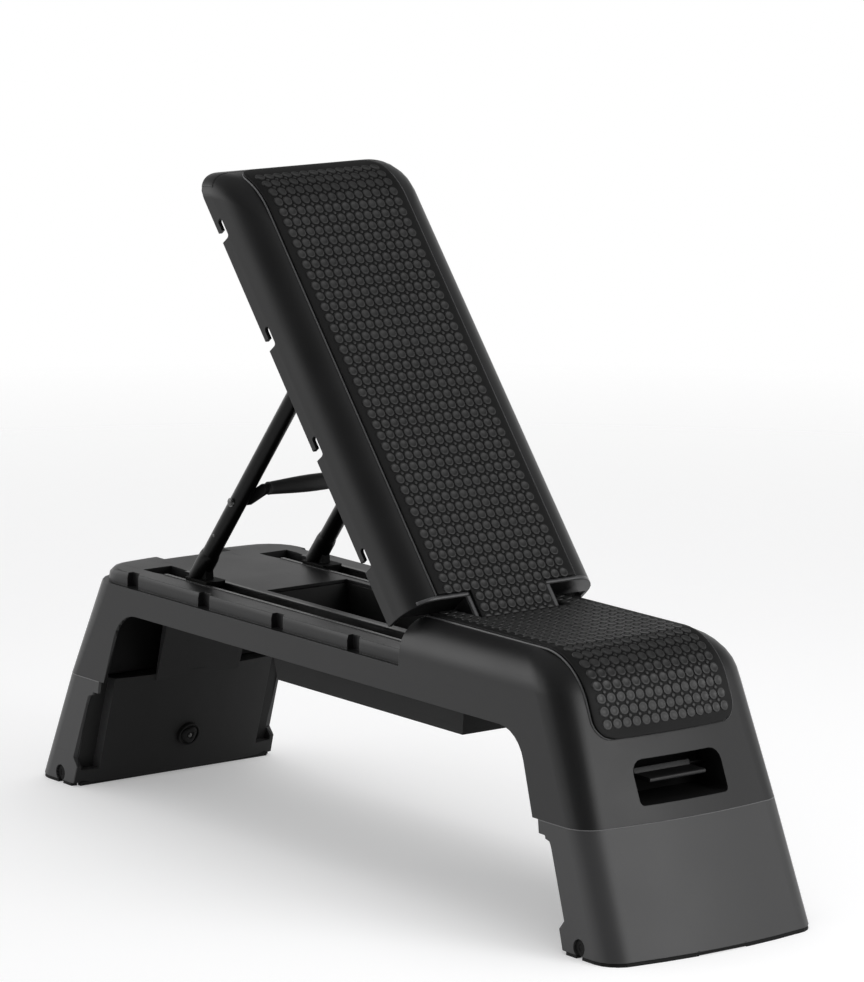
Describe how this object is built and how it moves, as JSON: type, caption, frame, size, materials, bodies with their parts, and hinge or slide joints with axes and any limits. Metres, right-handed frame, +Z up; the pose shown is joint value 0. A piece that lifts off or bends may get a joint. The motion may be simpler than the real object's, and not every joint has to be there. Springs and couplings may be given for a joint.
{
  "type": "adjustable aerobic step",
  "caption": "Long low bench on two fold-under legs, with a hinged deck raised as a backrest on two struts, a storage tray beneath and studded mats.",
  "frame": {"origin": "on the floor, under the middle of the bench", "axes": "+X towards the seat end along the bench, +Y to the far side, +Z up"},
  "size_m": [1.0966, 0.2816, 0.744],
  "materials": {
    "shell": "satin charcoal moulded plastic",
    "leg": "satin dark grey moulded plastic",
    "mat": "matt studded rubber",
    "rail": "semi-gloss black",
    "fitting": "black moulded plastic",
    "grip": "soft black",
    "tube": "gloss black powder coat",
    "rubber": "matt black",
    "steel": "zinc plated"
  },
  "bodies": {
    "base": {"base_shell": "shell", "slot_rail_near": "rail", "slot_rail_far": "rail", "storage_tray": "shell", "seat_mat": "mat", "backrest_hinge_rod": "steel", "leg_hinge_rod_front": "steel", "leg_hinge_rod_rear": "steel", "latch_rod_front": "steel", "latch_rod_rear": "steel"},
    "backrest": {"backrest_shell": "shell", "backrest_mat": "mat", "strut_pin_near": "steel", "strut_pin_far": "steel"},
    "strut_frame": {"strut_tube_near": "tube", "strut_tube_far": "tube", "strut_eye_near": "steel", "strut_eye_far": "steel", "shoe_pin_near": "steel", "shoe_pin_far": "steel", "handle_rivet_near": "steel", "handle_rivet_far": "steel"},
    "handle": {"handle_bar": "fitting", "handle_grip": "grip"},
    "shoes": {"shoe_near": "fitting", "shoe_far": "fitting"},
    "front_leg": {"leg_front": "leg", "leg_stop_front": "rubber", "foot_pad_front_near_inner": "rubber", "foot_pad_front_near_outer": "rubber", "foot_pad_front_far_inner": "rubber", "foot_pad_front_far_outer": "rubber"},
    "rear_leg": {"leg_rear": "leg", "leg_stop_rear": "rubber", "foot_pad_rear_near_inner": "rubber", "foot_pad_rear_near_outer": "rubber", "foot_pad_rear_far_inner": "rubber", "foot_pad_rear_far_outer": "rubber"},
    "front_latch": {"latch_paddle_front": "shell"},
    "rear_latch": {"latch_paddle_rear": "shell"}
  },
  "joints": [
    {"name": "backrest_tilt", "type": "hinge", "parent": "base", "child": "backrest", "pos_m": [0.192, 0, 0.2875], "axis": [0, 1, 0], "range_deg": [-7.58, 33.97]},
    {"name": "strut_swing", "type": "hinge", "parent": "backrest", "child": "strut_frame", "pos_m": [-0.04007, 0, 0.57439], "axis": [0, 1, 0], "range_deg": [-67.94, 15.16]},
    {"name": "shoe_turn", "type": "hinge", "parent": "strut_frame", "child": "shoes", "pos_m": [-0.27214, 0, 0.2875], "axis": [0, 1, 0], "range_deg": [-7.58, 33.97]},
    {"name": "handle_swing", "type": "hinge", "parent": "strut_frame", "child": "handle", "pos_m": [-0.2061, 0, 0.36913], "axis": [0, 1, 0], "range_deg": [-20, 70]},
    {"name": "front_leg_fold", "type": "hinge", "parent": "base", "child": "front_leg", "pos_m": [0.405, 0, 0.21], "axis": [0, 1, 0], "range_deg": [0, 100]},
    {"name": "rear_leg_fold", "type": "hinge", "parent": "base", "child": "rear_leg", "pos_m": [-0.405, 0, 0.21], "axis": [0, -1, 0], "range_deg": [0, 100]},
    {"name": "front_latch_lift", "type": "hinge", "parent": "base", "child": "front_latch", "pos_m": [0.441, 0, 0.175], "axis": [0, -1, 0], "range_deg": [0, 18], "stiffness_Nm_per_rad": 0.1, "springref_deg": -11.46},
    {"name": "rear_latch_lift", "type": "hinge", "parent": "base", "child": "rear_latch", "pos_m": [-0.441, 0, 0.175], "axis": [0, 1, 0], "range_deg": [0, 18], "stiffness_Nm_per_rad": 0.1, "springref_deg": -11.46}
  ],
  "couplings": [
    {"joint": "strut_swing", "follows": "backrest_tilt", "ratio": -2},
    {"joint": "shoe_turn", "follows": "backrest_tilt", "ratio": 1}
  ]
}
